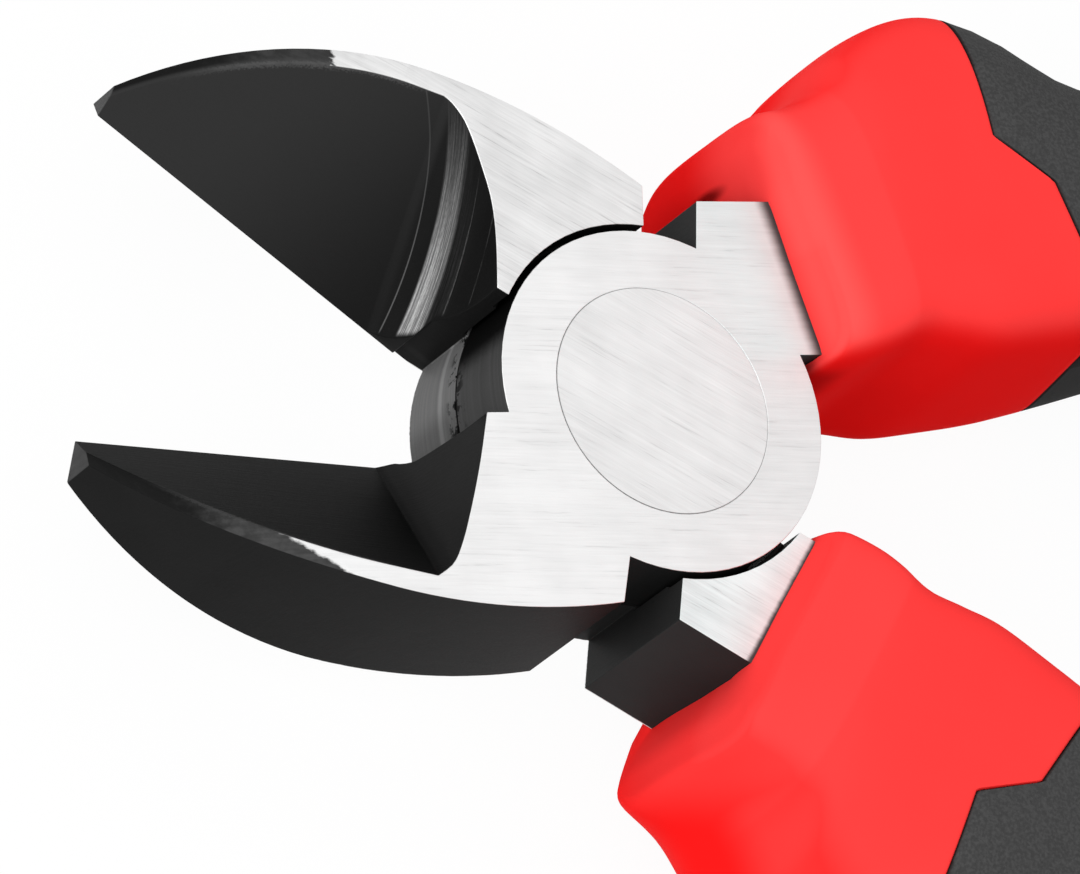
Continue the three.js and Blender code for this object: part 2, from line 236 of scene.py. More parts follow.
# %% [markdown]
# ## Floor, backdrop and light
#
# The tool lies on a plain white floor that fills the picture. A big light tent could be modelled, but a
# bright sky that fades towards the horizon does the same for less work: it lights the upward faces fully
# and leaves the side walls darker, as in the photograph. One wide lamp at the left adds a gentle direction.
# The floor shows nearly white to the camera and in reflections, and still takes a pale shadow. It throws
# back less light than it shows, because the undersides of the real grips stay dark.

# %% Light
SKY_TOP = 0.87
SKY_HORIZON = 0.62
SKY_FADE = (0.0, 0.75)
LAMP_PLACE = Vector((-0.85, -0.40, 0.75))
LAMP_SIDE = 0.9
LAMP_POWER = 8.0
WHITE_LIGHT = (1, 1, 1, 1)

bpy.context.scene.view_settings.view_transform = "Standard"
sky = Finish("studio", bpy.data.worlds)
bpy.context.scene.world = sky.made
direction = sky.node("ShaderNodeTexCoord").output("Generated")
height = sky.split(direction)[2]
brightness = sky.blend(sky.step(height, *SKY_FADE), SKY_HORIZON, SKY_TOP)
light = sky.node("ShaderNodeBackground", None, {"Color": WHITE_LIGHT, "Strength": brightness})
sky.node("ShaderNodeOutputWorld", None, {"Surface": light})

lamp_data = bpy.data.lights.new("left_panel", "AREA")
lamp_data.shape = "SQUARE"
lamp_data.size = LAMP_SIDE
lamp_data.energy = LAMP_POWER
lamp = bpy.data.objects.new("left_panel", lamp_data)
lamp.location = LAMP_PLACE
lamp.rotation_euler = (-LAMP_PLACE).to_track_quat("-Z", "Y").to_euler()
bpy.context.scene.collection.objects.link(lamp)
print("lamp to rivet:", round(LAMP_PLACE.length, 2), "m")

# %% Floor
FLOOR_WHITE = 0.94
FLOOR_MOTTLE = 0.01
FLOOR_MOTTLE_SCALE = 0.02
FLOOR_BOUNCE = 0.72
FLOOR_SHOWN_WHITE = 0.95
FLOOR_SIDE = 3.0
FLOOR_GAP = 0.1 * MM
floor_height = cad_box[0][2] - FLOOR_GAP


def floor_finish():
    paper = Finish("white_floor")
    path = paper.node("ShaderNodeLightPath")
    seen = path.output("Is Camera Ray").math("MAXIMUM", path.output("Is Glossy Ray"))
    seen = seen.math("MAXIMUM", path.output("Is Transmission Ray"))
    mottle = paper.noise(paper.place(), FLOOR_MOTTLE_SCALE)
    white = paper.mix(mottle, FLOOR_WHITE - FLOOR_MOTTLE, FLOOR_WHITE + FLOOR_MOTTLE)
    white = paper.mix(seen, FLOOR_BOUNCE, white)
    matt = paper.node("ShaderNodeBsdfDiffuse", None, {"Color": white})
    shown = paper.node("ShaderNodeEmission", None, {"Color": WHITE_LIGHT, "Strength": 1.0})
    both = paper.node("ShaderNodeMixShader", None, {0: seen * FLOOR_SHOWN_WHITE, 1: matt, 2: shown})
    paper.node("ShaderNodeOutputMaterial", None, {"Surface": both})
    return paper.made


floor_mesh = bpy.data.meshes.new("floor")
sheet = bmesh.new()
bmesh.ops.create_grid(sheet, x_segments=1, y_segments=1, size=FLOOR_SIDE / 2)
bmesh.ops.translate(sheet, verts=sheet.verts, vec=(0, 0, floor_height))
sheet.to_mesh(floor_mesh)
sheet.free()
floor = bpy.data.objects.new("floor", floor_mesh)
floor.data.materials.append(floor_finish())
bpy.context.scene.collection.objects.link(floor)
print("floor at", round(floor_height / MM, 2), "mm")

# %% [markdown]
# ## Forged steel: black all over, ground bright on the faces
#
# The levers are forged, blackened, and then ground flat on the two faces, so the black stays on everything
# that the wheel missed. The finish could be painted on by hand. Here it is worked out from the shape
# itself: a point is bright where it lies within a few hundredths of a millimetre of a ground face. All
# places are read in the lever's own frame, in millimetres, so the grain turns with its lever. A noise is
# given by its scale, detail and roughness, and a mask by the two places or distances between which it goes
# from 0 to 1.

# %% Grinding marks
GRAIN_TURN = math.radians(-2)
FINE_SQUEEZE = (0.34, 9.0, 1.0)
FINE_NOISE = (1.0, 3.0, 0.62)
COARSE_SQUEEZE = (0.16, 3.0, 1.0)
COARSE_SCALE = 1.0
CLOUD_SCALE = 0.3
FINE_SCRATCH = (0.58, 0.74)
COARSE_SCRATCH = (0.42, 0.62)
FINE_RELIEF = -0.15
COARSE_RELIEF = -0.14
CLOUD_RELIEF = 0.18
SCRATCH_DEPTH = 0.16
GROUND_ROUGHNESS = (0.40, 0.54)


def swing(noise):
    """A noise that runs about 0, not about 0.5."""
    return noise - 0.5


def grinding(finish, place):
    """Long faint marks along the lever: a fine set, a coarse set and broad cloudy patches, 0 to 1 each."""
    fine = finish.noise(finish.stretched(place, GRAIN_TURN, FINE_SQUEEZE), *FINE_NOISE)
    coarse = finish.noise(finish.stretched(place, GRAIN_TURN, COARSE_SQUEEZE), COARSE_SCALE)
    cloud = finish.noise(place, CLOUD_SCALE)
    return fine, coarse, cloud


def bright_steel(finish, marks, whiteness, contrast=1.0):
    """Colour and roughness of the ground face."""
    fine, coarse, cloud = marks
    scratch = finish.within((fine, FINE_SCRATCH), (coarse, COARSE_SCRATCH))
    relief = swing(fine) * FINE_RELIEF + swing(coarse) * COARSE_RELIEF + swing(cloud) * CLOUD_RELIEF
    tone = (relief - scratch * SCRATCH_DEPTH) * contrast + whiteness
    return finish.mix(tone, 0.0, 1.0), finish.blend(fine, *GROUND_ROUGHNESS)


print("grinding marks ready")

# %% Places on a lever
LEVER_TURN = HALF_OPENING
MIRRORED_MILLIMETRES = (1000.0, -1000.0, 1000.0)
NOSE_START_X = -20.0
NOSE_RADIUS = 27.0
TIP_X = -34.7
HEEL_X = -11.9
EDGE_HEIGHT_AT_TIP = 5.29
EDGE_HEIGHT_AT_HEEL = 0.77
EDGE_FALL = (EDGE_HEIGHT_AT_HEEL - EDGE_HEIGHT_AT_TIP) / (HEEL_X - TIP_X)
BEVEL_SLOPE = 0.856
FORGED_GRAIN = (9.0, 3.0, 0.6)
BITE_NOISE = (1.1, 3.0, 0.65)
FACE_REACH = (0.06, 0.02)


def bevel_height(x, y):
    """The bevel plane's height, for numbers and for values in a node tree."""
    return EDGE_HEIGHT_AT_TIP + EDGE_FALL * (x - TIP_X) + BEVEL_SLOPE * y


class LeverPlace:
    """Where a point lies on its lever, how far off the main faces that is, and the marks that it carries."""

    def __init__(self, steel, scale):
        self.place = steel.place(LEVER_TURN, scale)
        self.x, self.y, self.z = steel.split(self.place)
        self.marks = grinding(steel, self.place)
        self.fine, self.coarse, self.cloud = self.marks
        self.grain = steel.noise(self.place, *FORGED_GRAIN)
        self.bite = steel.noise(self.place, *BITE_NOISE)
        past_nose = (NOSE_START_X - self.x).math("MAXIMUM", 0.0)
        nose_fall = NOSE_RADIUS - (NOSE_RADIUS ** 2 - past_nose * past_nose).math("SQRT")
        self.off_front = (HEAD_THICKNESS - self.z - nose_fall).math("ABSOLUTE")
        self.on_front = steel.step(self.off_front, *FACE_REACH)
        self.off_bevel = (bevel_height(self.x, self.y) - self.z).math("ABSOLUTE")


print("cutting edge falls", round(-EDGE_FALL, 3), "mm per mm")

# %% [markdown]
# The bright front face ends on the jaw's nose in a ragged border, which runs differently on the two levers.
# A straight line would look cut out with scissors, so three noises push it to and fro. At the other end the
# steel goes in under the red collar: it turns duller there and takes a painted cool tint against the collar's
# red reflection, and the last corner gets painted shade.

# %% Bright faces
BORDER_Y = 8.3
BORDER_EDGE = (-0.22, 0.18)
BORDER_SWINGS = (0.9, 0.8, 2.4)
BACK_REACH = (0.12, 0.05)
BACK_SWING = 0.1
SHANK_OUTER_Y = -12.0
COLLAR_X = 10.0
COLLAR_SLANT = 0.14
NEAR_COLLAR = (COLLAR_X - 8.0, COLLAR_X - 1.5)
NEAR_COLLAR_SIDE = (-1.0, -3.5)
CORNER_SWING = 0.12


def ground_faces(steel, at, border):
    """1 where a grinding wheel reached: the front face up to its border on the nose, and the back face."""
    border_x, slant, wear = border
    by_fine, by_coarse, by_bite = BORDER_SWINGS
    ragged = (swing(at.fine) * by_fine + swing(at.coarse) * by_coarse + swing(at.bite) * by_bite) * wear
    past_border = at.x - (at.y - BORDER_Y) * slant - border_x + ragged
    front = at.on_front * steel.step(past_border, *BORDER_EDGE)
    back = steel.step(at.z + swing(at.fine) * BACK_SWING, *BACK_REACH)
    return front.math("MAXIMUM", back)


def beside_collar(steel, at, shade_width):
    """How near a point is to the collar, and how deep in the painted shade of the corner before it, 0 to 1
    each.
    """
    to_collar = at.x - (at.y - SHANK_OUTER_Y).math("MAXIMUM", 0.0) * COLLAR_SLANT
    near = steel.within((to_collar, NEAR_COLLAR), (at.y, NEAR_COLLAR_SIDE))
    # Painted shade in the last corner before the collar, where the collar meets the steel.
    in_painted_shade = steel.step(to_collar + swing(at.coarse) * CORNER_SWING, COLLAR_X - shade_width, COLLAR_X)
    return near, in_painted_shade


print("bright up to the collar at", COLLAR_X, "mm")

# %% [markdown]
# Beyond that border the nose is half worn to grey, in patches, and so is the ridge where the nose meets the
# bevel, because both rub on the work. Wear could follow the mesh's sharp edges, but a real tool wears only
# where it is used. So each worn place is named by its distance from the faces that meet there.

# %% Worn nose
RIDGE_REACH = (0.24, 0.03)
RIDGE_SWING = 0.5
RIDGE_BEGINS = (-18.5, -21.0)
RIDGE_ENDS = (-33.0, -28.0)
PATCHES = (0.30, 0.70)
PATCH_SWING = 0.6
PATCH_DEPTH = 0.35
STRIP_BEGINS = (-21.0, -22.0)
STRIP_ENDS = (-31.5, -27.0)
STRIP_SWING = 3.0
TIP_REACH = (TIP_X + 0.06, TIP_X + 0.02)
TIP_WEAR = 0.55


def nose_wear(steel, at, wear):
    """How far the black is worn off: along the ridge, over a strip of the nose and on the blunt tip."""
    ridge_wear, strip_wear = wear
    off_ridge = at.off_front.math("MAXIMUM", at.off_bevel) + swing(at.grain) * RIDGE_SWING
    ridge = steel.within((off_ridge, RIDGE_REACH), (at.x, RIDGE_BEGINS), (at.x, RIDGE_ENDS))
    patchy = steel.step(at.bite + swing(at.coarse) * PATCH_SWING, *PATCHES) * PATCH_DEPTH + (1 - PATCH_DEPTH)
    along = steel.within((at.x + swing(at.bite) * STRIP_SWING, STRIP_ENDS), (at.x, STRIP_BEGINS))
    strip = at.on_front * along * patchy
    tip = steel.step(at.x, *TIP_REACH)
    worn = (ridge * ridge_wear).math("MAXIMUM", strip * strip_wear)
    return worn.math("MAXIMUM", tip * TIP_WEAR)


print("worn strip on the nose from", STRIP_BEGINS[0], "to", STRIP_ENDS[0], "mm")

# %% [markdown]
# The rim of the lap disc is turned, not blackened, and shows it between the jaws. It could be a piece of
# its own, but it is one surface with the rest of the forging. So it is found by its distance from the
# rivet's axis. It gets fine lines round it, one brighter line, dark flecks near its middle, and painted
# shade at one end.

# %% Turned rim
LAP_DISC_RADIUS = 10.2
RIM_REACH = (0.09, 0.05)
RIM_SHOWS = (-4.0, -6.5)
RIM_SQUEEZE = (0.06, 0.06, 4.0)
RIM_NOISE = (1.0, 2.0, 0.6)
RIM_DARKEST = 0.7
RIM_LIGHTEST = 1.3
RIM_LINE_HEIGHT = 3.5
RIM_LINE_REACH = (0.35, 0.08)
RIM_LINE_SHARE = 0.6
RIM_LINE_BRIGHTNESS = 2.0
FLECK_NOISE = (1.6, 3.0, 0.7)
FLECK_CUT = (0.51, 0.57)
FLECK_REACH = (1.2, 0.4)
FLECK_BLACK = 0.004
RIM_SHADE_SIDE = (-3.1, -4.7)
RIM_SHADE_BLACK = 0.002


def turned_rim(steel, at, bright_faces, rim_tones):
    """Where the turned rim shows, and its colour."""
    tone, shade = rim_tones
    from_axis = (at.x * at.x + at.y * at.y).math("SQRT")
    off_rim = (from_axis - LAP_DISC_RADIUS).math("ABSOLUTE")
    turned = steel.within((off_rim, RIM_REACH), (at.x, RIM_SHOWS)) * (1 - bright_faces)
    lines = steel.noise(steel.stretched(at.place, 0.0, RIM_SQUEEZE), *RIM_NOISE)
    bright_line = steel.step((at.z - RIM_LINE_HEIGHT).math("ABSOLUTE"), *RIM_LINE_REACH)
    off_middle = (at.z - MIDDLE_HEIGHT).math("ABSOLUTE")
    fleck = steel.within((steel.noise(at.place, *FLECK_NOISE), FLECK_CUT), (off_middle, FLECK_REACH))
    colour = steel.mix(lines, tone * RIM_DARKEST, tone * RIM_LIGHTEST)
    colour = steel.mix(bright_line * RIM_LINE_SHARE, colour, tone * RIM_LINE_BRIGHTNESS)
    colour = steel.mix(fleck, colour, FLECK_BLACK)
    # Painted shade at one end of the rim.
    colour = steel.mix(steel.step(at.y, *RIM_SHADE_SIDE) * shade, colour, RIM_SHADE_BLACK)
    return turned, colour


print("turned rim at radius", LAP_DISC_RADIUS, "mm")

# %% [markdown]
# One jaw shows milling streaks in the hollow at the bevel's heel: a bundle of fine bright lines, a haze
# beside it, and three single lines. Modelled grooves would need a very fine mesh. So three directions are
# taken from the hollow itself, across, along and above the bevel, and the lines are drawn as noise squeezed
# across them.

# %% Hollow's directions
HOLLOW_TOP = (-17.2, 10.3)
HOLLOW_FOOT = (-13.4, 0.0)

hollow_foot = Vector((*HOLLOW_FOOT, bevel_height(*HOLLOW_FOOT)))
hollow_top = Vector((*HOLLOW_TOP, bevel_height(*HOLLOW_TOP)))
bevel_normal = Vector((-EDGE_FALL, -BEVEL_SLOPE, 1.0)).normalized()
hollow_along = (hollow_foot - hollow_top).normalized()
hollow_across = bevel_normal.cross(hollow_along)
print("hollow's length on the bevel:", round((hollow_foot - hollow_top).length, 1), "mm")

# %% Milling streaks
STREAK_BEND = 0.0255
STREAK_MIDDLE = -4.6
EDGE_END_X = -12.45
ROOT_RELIEF_X = -12.2
ROOT_RELIEF_DEPTH = 0.62
ABOVE_BEVEL = (-0.15, -0.02)
OFF_PARTING = (0.08, 0.35)
LONG_LINES = ((9.0, 0.12), (1.0, 3.0, 0.75), (0.36, 0.66))
DASHES = ((16.0, 2.2), (1.0, 2.0, 0.7), (0.32, 0.62))
DASH_DEPTH = 0.6
LIT_ALONG = (-13.5, -1.5)
LIT_SHARES = (0.10, 1.0)
LIT_BEGINS = (-15.5, -12.0)
BUNDLE_BEGINS = (1.5, 1.75)
BUNDLE_ENDS = (3.7, 3.1)
BUNDLE_DEPTH = 0.8
HAZE_BEGINS = (3.2, 3.6)
HAZE_ENDS = (5.6, 3.8)
HAZE_SHARE = 0.2
FOOT_LINE = 0.28
FOOT_LINE_REACH = (0.075, 0.02)
FOOT_LINE_ALONG = (-13.0, -2.0)
FOOT_LINE_SHARES = (0.15, 0.65)
SINGLE_LINES = ((4.8, 0.45), (6.95, 0.35))
SINGLE_LINE_REACH = (0.11, 0.03)
SINGLE_LINE_ALONG = (-12.0, -7.0)
SINGLE_LINE_BREAKS = (0.1, 0.9)


def ruled(steel, line, along, squeeze, noise, cut):
    """Fine lines: a noise squeezed across them and drawn out along them, cut into light and dark."""
    place = steel.node("ShaderNodeCombineXYZ", None, {"X": line * squeeze[0], "Y": along * squeeze[1]})
    return steel.step(steel.noise(place, *noise), *cut)


def milling_streaks(steel, at, share):
    """How strongly the bundle shows, and the fainter haze and single lines beside it."""
    from_foot = steel.vectors("SUBTRACT", at.place, tuple(hollow_foot))
    across, along, above = [steel.dot(from_foot, tuple(axis))
                            for axis in (hollow_across, hollow_along, bevel_normal)]
    from_middle = along - STREAK_MIDDLE
    line = across + above + from_middle * from_middle * STREAK_BEND
    off_parting = at.y - steel.step(at.x, EDGE_END_X, ROOT_RELIEF_X) * ROOT_RELIEF_DEPTH
    in_hollow = steel.within((above, ABOVE_BEVEL), (off_parting, OFF_PARTING)) * share

    dashes = ruled(steel, line, along, *DASHES)
    lines = ruled(steel, line, along, *LONG_LINES) * (dashes * DASH_DEPTH + (1 - DASH_DEPTH))
    lit = steel.blend(steel.step(along, *LIT_ALONG), *LIT_SHARES) * steel.step(along, *LIT_BEGINS)
    bundle = steel.within((line, BUNDLE_BEGINS), (line, BUNDLE_ENDS)) * lit
    streaks = in_hollow * bundle * (lines * BUNDLE_DEPTH + (1 - BUNDLE_DEPTH))

    haze = steel.within((line, HAZE_BEGINS), (line, HAZE_ENDS)) * lines * lit * HAZE_SHARE
    foot_shares = steel.blend(steel.step(along, *FOOT_LINE_ALONG), *FOOT_LINE_SHARES)
    faint = steel.step((line - FOOT_LINE).math("ABSOLUTE"), *FOOT_LINE_REACH) * foot_shares
    for place_of_line, strength in SINGLE_LINES:
        broken = steel.within((lines, SINGLE_LINE_BREAKS), (along, SINGLE_LINE_ALONG)) * strength
        faint = faint + steel.step((line - place_of_line).math("ABSOLUTE"), *SINGLE_LINE_REACH) * broken
    return streaks, (faint + haze) * in_hollow


print("milling streaks:", 1 + len(SINGLE_LINES), "single lines beside the bundle")

# %% [markdown]
# With these masks the finish is laid on in layers: the black of the forge, then the turned rim, the wear and
# the streaks, and the ground faces over all. Two separate materials could do the same. The levers share one
# recipe here, but one face is whiter and the other shows more grain, so each gets its own values.

# %% Lever finish
JAW_BLACKS = (0.0055, 0.0085)
SHANK_BLACKS = (0.019, 0.026)
JAW_TO_SHANK = (-4.0, 6.0)
BEVEL_REACH = (0.4, 0.1)
BEVEL_SIDE = (-0.1, 0.1)
BEVEL_ENDS = (-8.0, -10.0)
TOWARDS_HEEL = (-30.0, -14.0)
TOWARDS_HEEL_SLANT = -0.5
SPECK_CUT = (0.55, 0.8)
SPECK_SHARE = 0.3
SPECK_GREY = 0.020
WORN_GREYS = (0.055, 0.12)
STREAK_GREY = 0.62
STREAK_METAL = 0.3
FAINT_LINE_GREY = 0.26
FAINT_LINE_SHARE = 0.6
DULLING_ALONG = (-9.0, 9.0)
COLLAR_SHADE_GREY = 0.07
COLLAR_DULLING = 0.85
GROUND_METAL = 0.85
BLACK_ROUGHNESS = (0.44, 0.60)
BLACK_SPECULAR = 0.05
GRAIN_SHARE = 0.4
STEEL_BUMP = (0.00004, 0.3)


def forge_black(steel, at, bevel_light_and_shade):
    """The blackened skin: darkest on the jaw, with painted light and shade on the bevel from tip to heel."""
    black = steel.mix(steel.step(at.x, *JAW_TO_SHANK), steel.mix(at.cloud, *JAW_BLACKS),
                      steel.mix(at.cloud, *SHANK_BLACKS))
    on_bevel = steel.within((at.off_bevel, BEVEL_REACH), (at.y, BEVEL_SIDE), (at.x, BEVEL_ENDS))
    towards_heel = steel.step(at.x + at.y * TOWARDS_HEEL_SLANT, *TOWARDS_HEEL)
    # Painted light and shade on the bevel: its tone is set per lever by how light falls on it, and darkens
    # towards the heel.
    black = steel.mix(on_bevel, black, steel.mix(towards_heel, *bevel_light_and_shade))
    return steel.mix(steel.step(at.grain, *SPECK_CUT) * SPECK_SHARE, black, SPECK_GREY)


def lever_finish(name, scale, brightness, collar, border, wear, bevel_light_and_shade, rim_tones, streak_share):
    """A lever's steel. The groups are: brightness, the face's whiteness, its loss towards the handle and the
    grain's contrast; collar, the painted corner shade's width and the painted cool tint beside it that
    cancels the collar's red reflection; border, its x, slant and wear; wear, of ridge and strip;
    bevel_light_and_shade, the bevel's painted light and shade at tip and heel; rim_tones, the rim's tone and
    its painted shade."""
    steel = Finish(name)
    at = LeverPlace(steel, scale)
    bright_faces = ground_faces(steel, at, border)
    shade_width, reflection_cancel_tint = collar
    near_collar, collar_painted_shade = beside_collar(steel, at, shade_width)

    turned, rim = turned_rim(steel, at, bright_faces, rim_tones)
    streaks, faint_lines = milling_streaks(steel, at, streak_share)
    black = steel.mix(turned, forge_black(steel, at, bevel_light_and_shade), rim)
    black = steel.mix(nose_wear(steel, at, wear), black, steel.mix(at.coarse, *WORN_GREYS))
    black = steel.mix(streaks, black, STREAK_GREY)
    black = steel.mix(faint_lines * FAINT_LINE_SHARE, black, FAINT_LINE_GREY)

    whiteness, dulling, contrast = brightness
    faded = steel.step(at.x, *DULLING_ALONG) * -dulling + whiteness
    bright, bright_roughness = bright_steel(steel, at.marks, faded, contrast)
    # A painted cool tint cancels the collar's red reflection beside it, and painted shade darkens the corner.
    cooled = steel.vectors("MULTIPLY", bright, reflection_cancel_tint)
    shaded = steel.mix(collar_painted_shade, steel.mix(near_collar, bright, cooled), COLLAR_SHADE_GREY)
    ground = bright_faces * (1 - near_collar * COLLAR_DULLING)
    return steel.surface({
        "Base Color": steel.mix(bright_faces, black, shaded),
        "Metallic": (ground * GROUND_METAL).math("MAXIMUM", streaks * STREAK_METAL),
        "Roughness": steel.blend(bright_faces, steel.blend(at.grain, *BLACK_ROUGHNESS), bright_roughness),
        "Specular IOR Level": BLACK_SPECULAR,
        "Normal": steel.bump(at.fine + at.grain * GRAIN_SHARE, *STEEL_BUMP),
    })


# Each lever has its own painted light and shade on the bevel, in the collar's corner and on the rim; the
# front rim's lower tone and full shade are painted shadow under the upper jaw.
lever_finishes = {
    "front": lever_finish("front_lever_steel", MIRRORED_MILLIMETRES, brightness=(0.96, 0.08, 0.9),
                          collar=(1.0, (0.79, 0.88, 0.88)), border=(-24.57, 1.32, 0.35), wear=(0.5, 0.7),
                          bevel_light_and_shade=(0.006, 0.0015), rim_tones=(0.05, 1.0), streak_share=0.0),
    "rear": lever_finish("rear_lever_steel", MILLIMETRES, brightness=(0.86, 0.0, 1.5),
                         collar=(0.35, (0.89, 0.98, 0.98)), border=(-24.9, -0.3, 0.8), wear=(0.7, 0.45),
                         bevel_light_and_shade=(0.028, 0.012), rim_tones=(0.14, 0.35), streak_share=1.0),
}
print("lever finishes:", [finish.name for finish in lever_finishes.values()])

# %% [markdown]
# The rivet's face was ground together with the head, so it takes the same marks. Its outline could be left
# to the mesh, but the joint is so tight that only a thin dark line tells the two parts apart.

# %% Rivet finish
RIVET_RADIUS = 6.74
RIVET_WHITENESS = 0.90
RIVET_RIM = (RIVET_RADIUS - 0.05, RIVET_RADIUS - 0.01)
RIVET_RIM_SHARE = 0.8
RIVET_RIM_GREY = 0.10


def rivet_finish():
    steel = Finish("rivet_steel")
    place = steel.place(LEVER_TURN)
    x, y, _ = steel.split(place)
    marks = grinding(steel, place)
    colour, roughness = bright_steel(steel, marks, RIVET_WHITENESS)
    rim = steel.step((x * x + y * y).math("SQRT"), *RIVET_RIM)
    return steel.surface({
        "Base Color": steel.mix(rim * RIVET_RIM_SHARE, colour, RIVET_RIM_GREY),
        "Metallic": (1 - rim) * GROUND_METAL,
        "Roughness": roughness,
        "Normal": steel.bump(marks[0], *STEEL_BUMP),
    })


rivet_steel = rivet_finish()
print("rivet finish:", rivet_steel.name)

# %% [markdown]
# ## Grip plastics
#
# The sleeve is a hard satin plastic with a faint cloudiness from moulding. It is deep red on the sides, and a
# painted sheen makes it paler where a face looks up, down or forward, towards the collar's front and before
# the collar's crease. One handle has a painted highlight along the collar's edge and a painted shadow in the
# fold beside the steel, and both have painted shade in the inner corner. All this could be one flat red, but
# it is the small changes of gloss, tone and painted light that make a moulded surface look like one.

# %% Sleeve's painted sheen
LOOKS_UP = (0.05, 0.75)
LOOKS_FORWARD = (-0.1, -0.8)
FORWARD_HEIGHT = (3.5, 8.5)
FORWARD_SHARE = 0.9
FRONT_END_LEAN = 0.5
FRONT_END_SIDE = (-4.0, -9.0)


def sleeve_sheen(plastic, place, scale, sheen_front):
    """How much painted sheen pales the red, 0 to 1, by what a face looks at and how near the collar's front
    it lies.
    """
    x, y, z = plastic.split(place)
    facing = plastic.facing()
    forward = plastic.dot(facing, (math.cos(LEVER_TURN), -math.sin(LEVER_TURN) * scale[1] * MM, 0.0))
    facing_up = plastic.step(plastic.split(facing)[2].math("ABSOLUTE"), *LOOKS_UP)
    facing_forward = plastic.within((forward, LOOKS_FORWARD), (z, FORWARD_HEIGHT)) * FORWARD_SHARE
    pale_range, pale_share = sheen_front
    front_end = plastic.within((z * FRONT_END_LEAN - x, pale_range), (y, FRONT_END_SIDE)) * pale_share
    return facing_up.math("MAXIMUM", front_end).math("MAXIMUM", facing_forward)


print("sleeve's pale places ready")

# %% Sleeve finish
# The side red is the plastic's own; the sheen, crease and highlight reds are painted light, the fold and
# corner reds painted shade.
SIDE_REDS = ((0.93, 0.009, 0.009), (0.97, 0.013, 0.013))
SHEEN_REDS = ((0.97, 0.041, 0.040), (0.98, 0.052, 0.050))
SLEEVE_CLOUD_SCALE = 0.12
SLEEVE_GRAIN_SCALE = 6.0
CREASE_X = 16.44
CREASE_SLANT = 0.109
CREASE_EDGE = (CREASE_X + 0.25, CREASE_X - 0.15)
CREASE_SHARE = 0.4
CREASE_SHEEN_RED = (0.98, 0.062, 0.060)
HIGHLIGHT_EDGE = (14.4, 12.6)
HIGHLIGHT_HEIGHT = (10.0, 12.0)
HIGHLIGHT_SHARE = 0.7
HIGHLIGHT_RED = (0.99, 0.095, 0.088)
FOLD_PLACE = (-14.2, 5.4)
FOLD_SIZE = (0.5, 2.0)
FOLD_REACH = (1.2, 0.3)
FOLD_FRONT = (10.4, 10.0)
FOLD_SHARE = 0.8
FOLD_SHADE_RED = (0.08, 0.0, 0.0)
CORNER_FRONT = (14.2, 12.2)
CORNER_SIDE = (-3.2, -2.4)
CORNER_HEIGHT = (10.5, 8.5)
CORNER_SHARE = 0.5
CORNER_SHADE_RED = (0.30, 0.002, 0.003)
SLEEVE_ROUGHNESS = (0.44, 0.54)
SLEEVE_SPECULAR = 0.001
SLEEVE_BUMP = (0.00004, 0.12)


def sleeve_finish(name, scale, sheen_front, highlight_and_fold_share):
    """A sleeve's red. sheen_front is the range over which painted sheen pales the front end, and its share.
    """
    plastic = Finish(name)
    place = plastic.place(LEVER_TURN, scale)
    x, y, z = plastic.split(place)
    cloud = plastic.noise(place, SLEEVE_CLOUD_SCALE)
    # Painted light: the collar's front slope before the crease is paler, as it faces the light.
    before_crease = plastic.step(x - y * CREASE_SLANT, *CREASE_EDGE)
    # A painted highlight along the collar's rounded edge, on one handle only.
    edge_highlight = plastic.within((x - y * COLLAR_SLANT, HIGHLIGHT_EDGE), (z, HIGHLIGHT_HEIGHT)) * highlight_and_fold_share
    sheen_red = plastic.mix(before_crease * CREASE_SHARE, plastic.mix(cloud, *SHEEN_REDS), CREASE_SHEEN_RED)
    sheen_red = plastic.mix(edge_highlight * HIGHLIGHT_SHARE, sheen_red, HIGHLIGHT_RED)
    sheen = sleeve_sheen(plastic, place, scale, sheen_front)
    # Painted sheen: faces that look up, down or forward, and the front end, turn paler as if lit.
    red = plastic.mix(sheen, plastic.mix(cloud, *SIDE_REDS), sheen_red)

    # Painted shadow in the fold beside the steel, on one handle only.
    across_fold = (y - FOLD_PLACE[0]) / FOLD_SIZE[0]
    along_fold = (z - FOLD_PLACE[1]) / FOLD_SIZE[1]
    from_fold = (across_fold * across_fold + along_fold * along_fold).math("SQRT")
    fold_shade = plastic.within((from_fold, FOLD_REACH), (x, FOLD_FRONT)) * highlight_and_fold_share
    # Painted shade low in the inner corner at the collar's front.
    corner = plastic.within((x, CORNER_FRONT), (y, CORNER_SIDE), (z, CORNER_HEIGHT))
    red = plastic.mix(fold_shade * FOLD_SHARE, red, FOLD_SHADE_RED)
    red = plastic.mix(corner * CORNER_SHARE, red, CORNER_SHADE_RED)
    return plastic.surface({
        "Base Color": red,
        "Roughness": plastic.blend(cloud, *SLEEVE_ROUGHNESS),
        "Specular IOR Level": SLEEVE_SPECULAR,
        "Normal": plastic.bump(plastic.noise(place, SLEEVE_GRAIN_SCALE), *SLEEVE_BUMP),
    })


red_plastics = {
    "front": sleeve_finish("front_red_plastic", MIRRORED_MILLIMETRES, sheen_front=((-7.6, -5.0), 1.0),
                           highlight_and_fold_share=1.0),
    "rear": sleeve_finish("rear_red_plastic", MILLIMETRES, sheen_front=((-12.0, -7.2), 0.65), highlight_and_fold_share=0.0),
}
print("sleeve finishes:", [finish.name for finish in red_plastics.values()])

# %% [markdown]
# The cover is soft, dark and matt, with a fine moulded grain and a few darker specks. One grey would do for
# its front, but the cover looks nearly black on its sides, so painted shade darkens the grey where a face
# looks aside. Both handles share the one finish.

